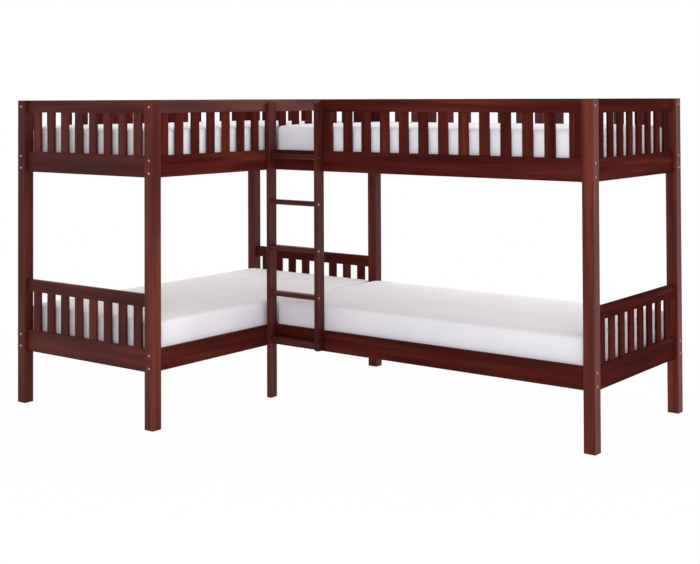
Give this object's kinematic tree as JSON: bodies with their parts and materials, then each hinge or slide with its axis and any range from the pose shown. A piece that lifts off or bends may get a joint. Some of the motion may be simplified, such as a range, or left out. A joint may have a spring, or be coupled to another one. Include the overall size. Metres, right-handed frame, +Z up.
{
  "type": "l-shaped bunk bed",
  "caption": "Corner bunk bed in dark stained wood: two bunks joined in an L at a shared post, slatted guards and end panels, a ladder in the inner corner, plain mattresses.",
  "frame": {"origin": "on the floor, under the middle of the bed's whole rectangular footprint", "axes": "+X along the right arm, away from the left arm; +Y along the left arm, from its front end to the back; +Z up"},
  "size_m": [3.063, 2.05, 1.7],
  "materials": {
    "stained_wood": "dark reddish-brown stain under a satin lacquer",
    "plain_wood": "bare planed softwood",
    "steel": "bright zinc plate",
    "mattress_fabric": "plain white woven ticking"
  },
  "bodies": {
    "frame": {"left_front_outer_post": "stained_wood", "left_front_inner_post": "stained_wood", "left_back_outer_post": "stained_wood", "corner_post": "stained_wood", "right_front_post": "stained_wood", "right_back_post": "stained_wood", "left_outer_lower_rail": "stained_wood", "left_inner_lower_rail": "stained_wood", "left_outer_upper_rail": "stained_wood", "left_inner_upper_rail": "stained_wood", "right_front_lower_rail": "stained_wood", "right_back_lower_rail": "stained_wood", "right_front_upper_rail": "stained_wood", "right_back_upper_rail": "stained_wood", "left_arm_cleats": "plain_wood", "right_arm_cleats": "plain_wood", "left_front_lower_top_rail": "stained_wood", "left_front_lower_board": "stained_wood", "left_front_lower_slats": "stained_wood", "left_front_upper_top_rail": "stained_wood", "left_front_upper_board": "stained_wood", "left_front_upper_slats": "stained_wood", "left_back_lower_top_rail": "stained_wood", "left_back_lower_board": "stained_wood", "left_back_lower_slats": "stained_wood", "left_back_upper_top_rail": "stained_wood", "left_back_upper_board": "stained_wood", "left_back_upper_slats": "stained_wood", "right_end_lower_top_rail": "stained_wood", "right_end_lower_board": "stained_wood", "right_end_lower_slats": "stained_wood", "right_end_upper_top_rail": "stained_wood", "right_end_upper_board": "stained_wood", "right_end_upper_slats": "stained_wood", "left_outer_guard_rail": "stained_wood", "left_outer_guard_slats": "stained_wood", "left_inner_guard_rail": "stained_wood", "left_inner_guard_slats": "stained_wood", "right_front_guard_rail": "stained_wood", "right_front_guard_slats": "stained_wood", "right_back_guard_rail": "stained_wood", "right_back_guard_slats": "stained_wood", "ladder_leg": "stained_wood", "ladder_side": "stained_wood", "ladder_rungs": "stained_wood", "left_lower_base_slats": "plain_wood", "left_upper_base_slats": "plain_wood", "right_lower_base_slats": "plain_wood", "right_upper_base_slats": "plain_wood", "rail_bolts": "steel", "rung_bolts": "steel", "barrel_nuts": "steel", "dowels": "plain_wood", "wood_screws": "steel", "bracket_screws": "steel", "corner_brackets": "steel"},
    "left_lower_mattress_body": {"left_lower_mattress": "mattress_fabric"},
    "left_upper_mattress_body": {"left_upper_mattress": "mattress_fabric"},
    "right_lower_mattress_body": {"right_lower_mattress": "mattress_fabric"},
    "right_upper_mattress_body": {"right_upper_mattress": "mattress_fabric"}
  },
  "joints": [
    {"name": "left_lower_mattress_lift", "type": "slide", "parent": "frame", "child": "left_lower_mattress_body", "axis": [0, 0, 1], "range_m": [0, 0.42]},
    {"name": "left_upper_mattress_lift", "type": "slide", "parent": "frame", "child": "left_upper_mattress_body", "axis": [0, 0, 1], "range_m": [0, 0.42]},
    {"name": "right_lower_mattress_lift", "type": "slide", "parent": "frame", "child": "right_lower_mattress_body", "axis": [0, 0, 1], "range_m": [0, 0.42]},
    {"name": "right_upper_mattress_lift", "type": "slide", "parent": "frame", "child": "right_upper_mattress_body", "axis": [0, 0, 1], "range_m": [0, 0.42]}
  ]
}
